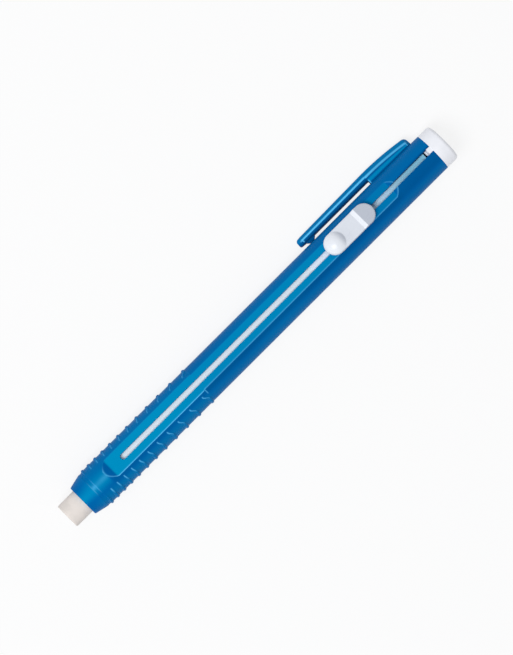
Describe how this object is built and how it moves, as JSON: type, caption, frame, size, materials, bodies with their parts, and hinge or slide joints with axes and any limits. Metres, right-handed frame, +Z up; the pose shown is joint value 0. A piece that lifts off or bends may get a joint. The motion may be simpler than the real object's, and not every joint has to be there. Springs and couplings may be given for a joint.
{
  "type": "stick eraser holder",
  "caption": "Slim round holder that feeds a white rubber stick through its nose, with a thumb slide in a long slot, ribbed grip and pocket clip.",
  "frame": {"origin": "centre of the rubber stick's flat front face, on the barrel's axis", "axes": "+X along the barrel from the rubber's face to the end cap, +Z up with the part lying on a table: it rests on the barrel and on the pocket clip, which lies toward +Y, so the thumb slide leans toward +Y by the roll that the source works out"},
  "size_m": [0.133, 0.0137, 0.0131],
  "materials": {
    "rubber": "smooth matt white eraser rubber with a fine skin",
    "barrel_blue": "glossy, slightly translucent blue moulded plastic",
    "white_plastic": "satin white moulded plastic",
    "spring_steel": "thin plain spring strip"
  },
  "bodies": {
    "barrel": {"barrel": "barrel_blue", "end_cap": "white_plastic"},
    "clip": {"pocket_clip": "barrel_blue"},
    "slider": {"carrier": "white_plastic", "eraser": "rubber", "lock_spring": "spring_steel"},
    "button": {"thumb_slide": "white_plastic"}
  },
  "joints": [
    {"name": "eraser_slide", "type": "slide", "parent": "barrel", "child": "slider", "axis": [-1, 0, 0], "range_m": [-0.0055, 0.076]},
    {"name": "button_press", "type": "slide", "parent": "slider", "child": "button", "axis": [0, -0.4882, -0.8727], "range_m": [0, 0.0007], "stiffness_N_per_m": 600, "springref_m": -0.001, "deforming": ["lock_spring"]},
    {"name": "clip_flex", "type": "hinge", "parent": "barrel", "child": "clip", "pos_m": [0.1126, 0.0077, -0.00431], "axis": [0, -0.4882, -0.8727], "range_deg": [0, 4], "stiffness_Nm_per_rad": 0.4, "springref_deg": -1.15}
  ]
}
